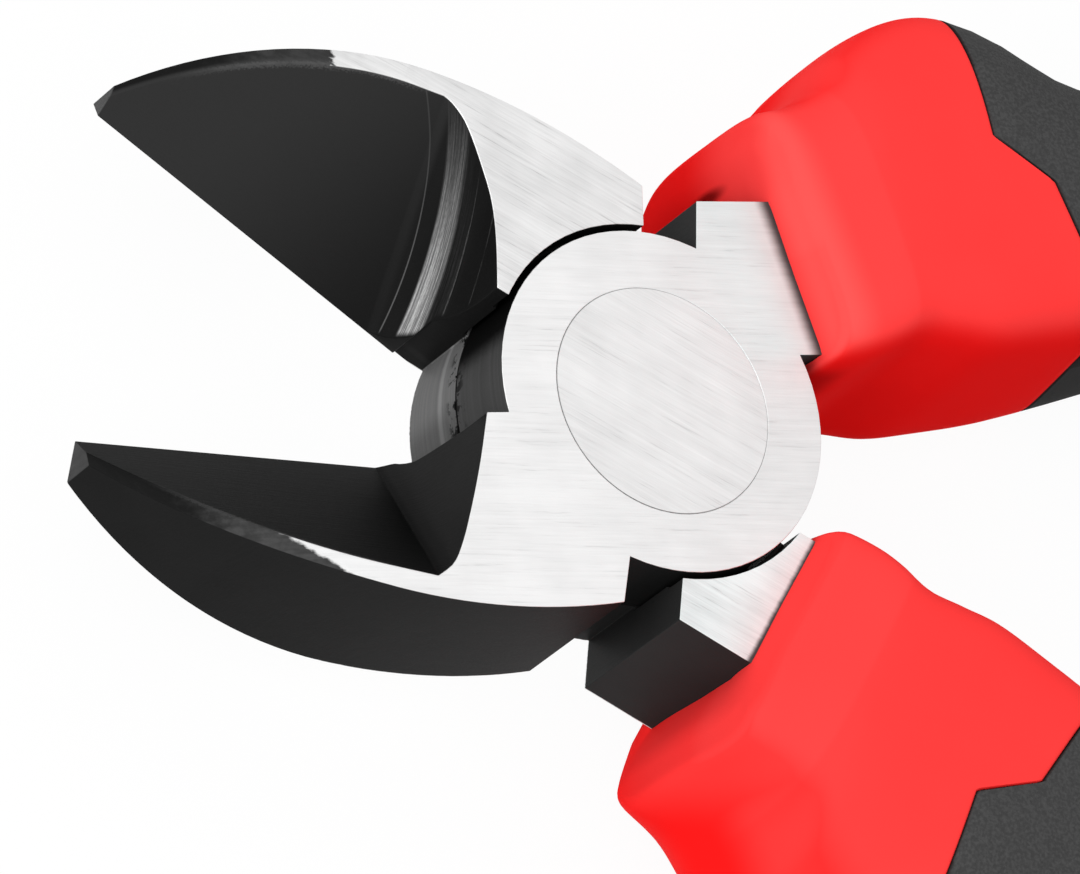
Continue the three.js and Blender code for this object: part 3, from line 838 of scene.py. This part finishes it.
# %% Cover finish
COVER_CLOUD = (0.16, 3.0, 0.55)
COVER_GRAIN = (5.0, 3.0, 0.6)
COVER_SPECK_NOISE = (2.6, 4.0, 0.7)
COVER_SPECK_CUT = (0.64, 0.72)
COVER_GREYS = (0.040, 0.049)
COVER_GRAIN_CUT = (0.35, 0.70)
COVER_GRAIN_GREY = 0.066
COVER_SPECK_SHARE = 0.5
COVER_SPECK_GREY = 0.028
COVER_LOOKS_ASIDE = (0.85, 0.10)
COVER_SIDE_SHARE = 0.85
COVER_SIDE_SHADE = 0.003
COVER_ROUGHNESS = (0.62, 0.80)
COVER_SPECULAR = 0.05
COVER_BUMP = (0.0001, 0.35)


def cover_finish():
    rubber = Finish("dark_cover_rubber")
    place = rubber.place()
    grain = rubber.noise(place, *COVER_GRAIN)
    speck = rubber.step(rubber.noise(place, *COVER_SPECK_NOISE), *COVER_SPECK_CUT)
    grey = rubber.mix(rubber.noise(place, *COVER_CLOUD), *COVER_GREYS)
    grey = rubber.mix(rubber.step(grain, *COVER_GRAIN_CUT), grey, COVER_GRAIN_GREY)
    grey = rubber.mix(speck * COVER_SPECK_SHARE, grey, COVER_SPECK_GREY)
    # Painted shade: faces that look aside turn nearly black.
    aside = rubber.step(rubber.split(rubber.facing())[2].math("ABSOLUTE"), *COVER_LOOKS_ASIDE)
    return rubber.surface({
        "Base Color": rubber.mix(aside * COVER_SIDE_SHARE, grey, COVER_SIDE_SHADE),
        "Roughness": rubber.blend(grain, *COVER_ROUGHNESS),
        "Specular IOR Level": COVER_SPECULAR,
        "Normal": rubber.bump(grain, *COVER_BUMP),
    })


dark_rubbers = dict.fromkeys(SIDES, cover_finish())
print("cover finish:", dark_rubbers["front"].name)

# %% [markdown]
# ## Levers
#
# The solids already hold the forging's shape: jaw, bevels, lap disc, shank and tang. They could be drawn
# again from nothing, but a copy of the solid is exact. The copy is merged, its flat faces are freed of
# inner edges, and every hard edge is broken by a hair, because a real edge always catches a little light.
# Normals weighted by face area keep the ground faces flat beside those narrow strips.

# %% Lever pieces
EDGE_BREAK = 0.05 * MM
EDGE_BREAK_SEGMENTS = 2
SAME_POINT = 0.1 * MM
NO_LENGTH = SAME_POINT / 10
HARD_EDGE = math.radians(24)
FLAT_ENOUGH = math.radians(0.05)
FACE_WEIGHT = 60


def add_piece(name, shape, material, body, node):
    """Turns a bmesh into a piece that rides on its body and stands for its solid."""
    mesh = bpy.data.meshes.new(name)
    shape.to_mesh(mesh)
    shape.free()
    mesh.materials.append(material)
    mesh.polygons.foreach_set("use_smooth", [True] * len(mesh.polygons))
    piece = bpy.data.objects.new(name, mesh)
    bpy.context.scene.collection.objects.link(piece)
    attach(piece, body)
    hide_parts(node)
    print(name, "faces:", len(mesh.polygons))
    return piece


def lever_shape(node):
    shape = bmesh.new()
    shape.from_mesh(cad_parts[node].data)
    bmesh.ops.remove_doubles(shape, verts=shape.verts, dist=SAME_POINT)
    bmesh.ops.dissolve_degenerate(shape, edges=shape.edges, dist=NO_LENGTH)
    bmesh.ops.dissolve_limit(shape, angle_limit=FLAT_ENOUGH, verts=shape.verts, edges=shape.edges)
    hard = [edge for edge in shape.edges if edge.calc_face_angle(0) > HARD_EDGE]
    bmesh.ops.bevel(shape, geom=hard, offset=EDGE_BREAK, affect="EDGES", segments=EDGE_BREAK_SEGMENTS,
                    profile=0.5, material=-1, clamp_overlap=False)
    return shape


for side in SIDES:
    node = f"{side}_lever"
    piece = add_piece(f"{side}_lever_forging", lever_shape(node), lever_finishes[side],
                      f"{side}_half", node)
    weighted = piece.modifiers.new("flat_faces", "WEIGHTED_NORMAL")
    weighted.weight = FACE_WEIGHT

# %% [markdown]
# ## Rivet
#
# The rivet was hammered over at both ends and ground flush with the head. It could be a cylinder with cones
# cut into it. Its outline is only a few points beside the axis, so spinning that outline once round is
# quicker.

# %% Rivet piece
RIVET_SHANK_RADIUS = 4.6
RIVET_HEAD_DEPTH = 2.4
RIVET_EDGE = 0.02
RIVET_STEPS = 144
RIVET_MERGE = 0.001 * MM


def rivet_shape():
    half = [(0.0, MIDDLE_HEIGHT), (RIVET_RADIUS - RIVET_EDGE, MIDDLE_HEIGHT),
            (RIVET_RADIUS, MIDDLE_HEIGHT - RIVET_EDGE),
            (RIVET_SHANK_RADIUS, MIDDLE_HEIGHT - RIVET_HEAD_DEPTH)]
    outline = half + [(radius, -height) for radius, height in reversed(half)]
    shape = bmesh.new()
    line = [shape.verts.new((radius * MM, 0, (MIDDLE_HEIGHT + height) * MM)) for radius, height in outline]
    edges = [shape.edges.new(pair) for pair in zip(line, line[1:])]
    bmesh.ops.spin(shape, geom=line + edges, axis=(0, 0, 1), cent=(0, 0, 0), dvec=(0, 0, 0),
                   angle=2 * math.pi, steps=RIVET_STEPS, use_merge=True)
    bmesh.ops.remove_doubles(shape, verts=shape.verts, dist=RIVET_MERGE)
    bmesh.ops.recalc_face_normals(shape, faces=shape.faces)
    for edge in shape.edges:
        edge.smooth = edge.calc_face_angle(0) < HARD_EDGE
    return shape


add_piece("pivot_rivet_ground", rivet_shape(), rivet_steel, "rear_half", "pivot_rivet")

# %% [markdown]
# ## Grips
#
# Each grip is a bar whose section changes all the way along: nearly square at the collar, swelling into the
# thumb guard, then slim and rounded. A box could be carved with many cuts, but a grid wrapped into a tube
# follows such a form better. Each row of the grid becomes one ring, and a ring is a superellipse: a circle
# pushed out towards a square. The outlines in plan and height are smooth curves through a few points.

# %% Grip outlines
INNER_SIDE = [(10.3, -2.1), (12.5, -2.0), (14.3, -2.2), (17.3, -3.0), (19.5, -2.75), (22, -2.4), (25, -2.6),
              (30, -3.2), (45, -6.2), (65, -9.2), (90, -11.0), (115, -9.8), (135, -6.6), (146, -5.0)]
OUTER_SIDE = [(10.3, -17.6), (13, -18.2), (15, -19.5), (17, -21.6), (21, -23.8), (24, -24.4), (27, -23.3),
              (31, -20.6), (36, -19.3), (45, -20.4), (65, -25.0), (90, -27.4), (115, -25.6), (135, -22.0),
              (146, -21.4)]
HALF_HEIGHT = [(10.3, 7.8), (13, 8.65), (15.6, 9.35), (16.6, 9.4), (22, 9.5), (28, 9.4), (40, 8.8), (70, 8.7),
               (100, 8.5), (130, 8.0), (146, 7.6)]
INNER_SQUARENESS = [(10.3, 7.0), (20, 7.0), (32, 5.5), (45, 4.0), (146, 3.0)]
OUTER_SQUARENESS = [(10.3, 4.5), (14, 3.6), (18, 2.8), (40, 2.6), (146, 2.6)]
GUARD_X = 24


def curve_through(points):
    """A smooth curve through (x, value) points, as a function of x."""
    def slope(index):
        before = points[max(index - 1, 0)]
        after = points[min(index + 1, len(points) - 1)]
        return (after[1] - before[1]) / (after[0] - before[0])

    def read(x):
        index = max((i for i, point in enumerate(points[:-1]) if point[0] <= x), default=0)
        (x0, y0), (x1, y1) = points[index:index + 2]
        span = x1 - x0
        t = min(max((x - x0) / span, 0.0), 1.0)
        bend = t * (1 - t) * span * (slope(index) * (1 - t) - slope(index + 1) * t)
        return y0 + (y1 - y0) * t * t * (3 - 2 * t) + bend

    return read


inner_side, outer_side, half_height, inner_squareness, outer_squareness = map(
    curve_through, (INNER_SIDE, OUTER_SIDE, HALF_HEIGHT, INNER_SQUARENESS, OUTER_SQUARENESS))
print("grip width at the guard:", round(inner_side(GUARD_X) - outer_side(GUARD_X), 1), "mm")

# %% Points on the grip
GRIP_FRONT_X = 10.3
GRIP_END_X = 146.0
GRIP_END_ROUNDING = 7.0
GRIP_END_SHARE = 0.001
INNER_RIM_SHARE = 0.4


def ring_point(x, angle, low_y, high_y, half_z, inner_power, outer_power):
    """A point of a superellipse ring, by its angle seen from the ring's middle."""
    across, up = math.cos(angle), math.sin(angle)
    half_y = (high_y - low_y) / 2
    power = inner_power if across > 0 else outer_power
    reach = (abs(across / half_y) ** power + abs(up / half_z) ** power) ** (-1 / power)
    return Vector((x, (low_y + high_y) / 2 + across * reach, MIDDLE_HEIGHT + up * reach))


def grip_point(x, angle, inset=0.0, rim=0.0):
    """A point of the grip's outside, or of the same form drawn in by an inset. A rim draws in the inner side
    less than the rest."""
    end_x = GRIP_END_X - inset
    from_end = min(max((end_x - x) / GRIP_END_ROUNDING, 0.0), 1.0)
    rounding = max(math.sqrt(1 - (1 - from_end) ** 2), GRIP_END_SHARE)
    low_y, high_y = outer_side(x) + rim, inner_side(x) - rim * INNER_RIM_SHARE
    middle = (low_y + high_y) / 2
    half_y = ((high_y - low_y) / 2 - inset) * rounding
    half_z = (half_height(x) - inset - rim) * rounding
    return ring_point(x, angle, middle - half_y, middle + half_y, half_z,
                      inner_squareness(x), outer_squareness(x))


print("grip from", GRIP_FRONT_X, "to", GRIP_END_X, "mm")

# %% [markdown]
# The soft cover starts at a zigzag on the front face. The edge could be cut with a boolean, which leaves
# long thin faces along the cut. Here the rings themselves lean: the last ring of the sleeve and the first
# of the cover are bent to lie on the zigzag, so the faces on both sides stay even and the two colours meet
# in a clean line.

# %% Cover edge
COVER_EDGE = [(-60.0, 23.5), (-14.3, 23.5), (-11.5, 27.0), (-7.4, 28.0), (-4.5, 28.8), (40.0, 28.8)]
COVER_FIRST_X = COVER_EDGE[0][1]
COVER_EDGE_HEIGHT = 14.5
COVER_EDGE_SLANT = -0.25
EDGE_PASSES = 8
COLUMNS = 256


def cover_edge_x(point):
    """Where the cover starts, at a point's width and height on the grip."""
    for (y0, x0), (y1, x1) in zip(COVER_EDGE, COVER_EDGE[1:]):
        if point.y <= y1:
            start = x0 + (x1 - x0) * (point.y - y0) / (y1 - y0)
            break
    return start + COVER_EDGE_SLANT * (point.z - COVER_EDGE_HEIGHT)


def edge_at(angle):
    """The cover edge's x at one angle: the place where the edge and the grip's side agree."""
    x = COVER_FIRST_X
    for _ in range(EDGE_PASSES):
        x = cover_edge_x(grip_point(x, angle))
    return x


angles = [2 * math.pi * column / COLUMNS for column in range(COLUMNS + 1)]
edge_line = [edge_at(angle) for angle in angles]
print("cover edge from", round(min(edge_line), 1), "to", round(max(edge_line), 1), "mm")

# %% Wrapped grid
WRAP_MERGE = 0.0005 * MM
SOCKET_SQUARENESS = 30


def wrap(rows):
    """A grid wrapped into a closed tube: each row is a function from a column number to a point."""
    shape = bmesh.new()
    bmesh.ops.create_grid(shape, x_segments=len(rows) - 1, y_segments=COLUMNS, size=1)
    for vert in shape.verts:
        row = round((vert.co.x + 1) / 2 * (len(rows) - 1))
        column = round((vert.co.y + 1) / 2 * COLUMNS)
        vert.co = rows[row](column) * MM
    bmesh.ops.remove_doubles(shape, verts=shape.verts, dist=WRAP_MERGE)
    bmesh.ops.recalc_face_normals(shape, faces=shape.faces)
    return shape


def grip_row(share, inset, start, end):
    """A ring at a share of the way between two lines on the grip, each a number or a list by column."""
    def at(line, column):
        return line[column] if isinstance(line, list) else line

    def row(column):
        x = at(start, column) + (at(end, column) - at(start, column)) * share
        return grip_point(x, angles[column], inset)

    return row


def box_row(x, low_y, high_y, half_z):
    """A ring with nearly square corners, for the socket that takes the steel."""
    return lambda column: ring_point(x, angles[column], low_y, high_y, half_z,
                                     SOCKET_SQUARENESS, SOCKET_SQUARENESS)


def middle_of(row):
    """A closed end: every column meets at the middle of a ring."""
    return lambda column: (row(0) + row(COLUMNS // 2)) / 2


print("grid wrapped with", COLUMNS, "columns")

# %% [markdown]
# The collar at the front of the sleeve is a blunt, soft nose round the steel. A flat end with a bevelled
# edge would be quicker, but the light runs over the real collar without a break. So the end is bowed: its
# front line follows an ellipse in side view and leans a little, its rim is rounded, and it sinks in beside
# the steel. Seen from above, it slants back over the width of the steel, so that it stays clear of the lap
# disc, and again at the outer side.

# %% Collar's front and rim
NOSE_FRONT_X = 9.35
NOSE_DEPTH = 2.0
NOSE_HALF_HEIGHT = 8.9
NOSE_LEAN = 0.05
NOSE_OUTER_Y = -15.5
NOSE_OUTER_SLANT = 0.35
COLLAR_RIM = 0.75
QUARTER_TURN = math.pi / 2
RIM_RINGS = 5


def collar_front(point):
    """How far forward the collar reaches at a point's width and height."""
    rise = point.z - MIDDLE_HEIGHT
    bow = 1 - math.sqrt(1 - min(abs(rise / NOSE_HALF_HEIGHT), 1.0) ** 2)
    slant = COLLAR_SLANT * max(point.y - SHANK_OUTER_Y, 0.0)
    slant += NOSE_OUTER_SLANT * max(NOSE_OUTER_Y - point.y, 0.0)
    return NOSE_FRONT_X + NOSE_DEPTH * bow + NOSE_LEAN * rise + slant


def rim_row(turn):
    """A ring on the collar's rounded rim: turn 0 faces forward, a quarter turn faces out."""
    rim = COLLAR_RIM * (1 - math.sin(turn))

    def row(column):
        front = collar_front(grip_point(GRIP_FRONT_X, angles[column], rim=COLLAR_RIM))
        return grip_point(front + COLLAR_RIM * (1 - math.cos(turn)), angles[column], rim=rim)

    return row


collar_rim = [rim_row(step / RIM_RINGS * QUARTER_TURN) for step in range(RIM_RINGS + 1)]
print("collar's rim from", round(min(row(0).x for row in collar_rim), 2), "mm")

# %% Collar's mouth
SHANK_INNER_Y = -2.7
SHANK_END_X = 13.0
SOCKET_CLEARANCE = 0.05
DISH = 0.7
DISH_TOP = 11.2
DISH_FADE = 3.0
DISH_SHARPNESS = 1.5
CAP_RINGS = 6


def mouth_row(x=None):
    """A ring on the socket's walls: at a given depth, or where it opens in the collar's hollowed front."""
    ring = box_row(x or GRIP_FRONT_X, SHANK_OUTER_Y - SOCKET_CLEARANCE, SHANK_INNER_Y + SOCKET_CLEARANCE,
                   MIDDLE_HEIGHT + SOCKET_CLEARANCE)

    def row(column):
        point = ring(column)
        if x is None:
            below_top = min(max((DISH_TOP - point.z) / DISH_FADE, 0.0), 1.0)
            hollow = DISH * below_top * max(0.0, -math.cos(angles[column])) ** DISH_SHARPNESS
            point.x = collar_front(point) + hollow
        return point

    return row


def cap_row(share):
    """A ring on the collar's front, at a share of the way from the socket out to the rim."""
    inner, outer = mouth_row(), collar_rim[0]

    def row(column):
        point = inner(column).lerp(outer(column), share)
        hollow = inner(column).x - collar_front(inner(column))
        point.x = collar_front(point) + hollow * (1 - share) ** 2
        return point

    return row


collar = [mouth_row(SHANK_END_X), *[cap_row(step / CAP_RINGS) for step in range(CAP_RINGS)], *collar_rim]
print("collar front from", round(min(row(0).x for row in collar), 2), "mm")

# %% [markdown]
# The sleeve is one closed skin: the socket that the tang fills, the collar, the red front up to the zigzag,
# and a slimmer core that carries the cover. The cover is a second skin over that core, with a lining a
# little off it. Two plain tubes pushed into each other would flicker where they touch, so both edges roll
# in and leave a hair of room.

# %% Sleeve
TANG_END_X = 122.0
TANG_WIDTHS = (7.4, 5.6)
TANG_HALF_THICKNESS = 3.5
TANG_BLEND_END_X = 40.0
COVER_THICKNESS = 2.2
EDGE_ROLL = 0.12
TANG_RINGS = 12
SLEEVE_RINGS = 40
CORE_RINGS = 16


def tang_row(share):
    """A ring of the socket, at a share of the way from the tang's end out to the shank."""
    x = TANG_END_X + (SHANK_END_X - TANG_END_X) * share
    t = min(max((x - SHANK_END_X) / (TANG_BLEND_END_X - SHANK_END_X), 0.0), 1.0)
    ease = t * t * (3 - 2 * t)
    shank_middle = (SHANK_OUTER_Y + SHANK_INNER_Y) / 2
    middle = shank_middle * (1 - ease) + (inner_side(x) + outer_side(x)) / 2 * ease
    half_y = (TANG_WIDTHS[1] + (TANG_WIDTHS[0] - TANG_WIDTHS[1]) * share) / 2 + SOCKET_CLEARANCE
    return box_row(x, middle - half_y, middle + half_y, TANG_HALF_THICKNESS + SOCKET_CLEARANCE)


def sleeve_shape():
    socket = [tang_row(step / TANG_RINGS) for step in range(TANG_RINGS + 1)]
    collar_end = [collar[-1](column).x for column in range(COLUMNS + 1)]
    front = [grip_row(step / SLEEVE_RINGS, 0.0, collar_end, edge_line) for step in range(1, SLEEVE_RINGS)]
    rolled = [x - EDGE_ROLL for x in edge_line]
    edge = [grip_row(1.0, 0.0, 0.0, rolled), grip_row(1.0, EDGE_ROLL, 0.0, edge_line),
            grip_row(1.0, COVER_THICKNESS, 0.0, edge_line)]
    core_end = GRIP_END_X - COVER_THICKNESS
    core = [grip_row(math.sin(step / CORE_RINGS * QUARTER_TURN), COVER_THICKNESS, edge_line, core_end)
            for step in range(1, CORE_RINGS + 1)]
    return wrap([middle_of(socket[0]), *socket, *collar, *front, *edge, *core, middle_of(core[-1])])


print("socket:", TANG_END_X - SHANK_END_X, "mm deep behind the shank")

# %% Cover
COVER_GAP = 0.25
COVER_EDGE_GAP = COVER_GAP / 4
COVER_RINGS = 70
COVER_END_RINGS = 24


def cover_shape():
    inside = COVER_THICKNESS - COVER_GAP
    start = [x + COVER_EDGE_GAP for x in edge_line]
    rolled = [x + EDGE_ROLL for x in start]
    bend = 1 - GRIP_END_ROUNDING / (GRIP_END_X - COVER_FIRST_X)
    shares = [bend * step / COVER_RINGS for step in range(COVER_RINGS)]
    shares += [bend + (1 - bend) * math.sin(step / COVER_END_RINGS * QUARTER_TURN)
               for step in range(COVER_END_RINGS + 1)]
    lining = [grip_row(share, inside, start, GRIP_END_X - inside) for share in reversed(shares[::2])]
    edge = [grip_row(1.0, EDGE_ROLL, 0.0, start)]
    outside = [grip_row(share, 0.0, rolled, GRIP_END_X) for share in shares]
    return wrap([middle_of(lining[0]), *lining, *edge, *outside, middle_of(outside[-1])])


print("cover:", round(COVER_THICKNESS - COVER_GAP, 2), "mm thick")

# %% Grip pieces
SHARP_CORNER = math.radians(50)
GRIP_PARTS = {"sleeve": (sleeve_shape, red_plastics, "grip_red"),
              "cover": (cover_shape, dark_rubbers, "grip_dark")}

for side in SIDES:
    for part, (shape_of, finishes, slot) in GRIP_PARTS.items():
        shape = shape_of()
        if side == "front":
            bmesh.ops.scale(shape, verts=shape.verts, vec=(1, -1, 1))
            bmesh.ops.recalc_face_normals(shape, faces=shape.faces)
        turn = HALF_OPENING if side == "front" else -HALF_OPENING
        bmesh.ops.rotate(shape, verts=shape.verts, cent=(0, 0, 0), matrix=Matrix.Rotation(turn, 3, "Z"))
        for edge in shape.edges:
            edge.smooth = edge.calc_face_angle(0) < SHARP_CORNER
        add_piece(f"{side}_grip_{part}_moulding", shape, finishes[side], f"{side}_half",
                  f"{side}_grip_{part}")
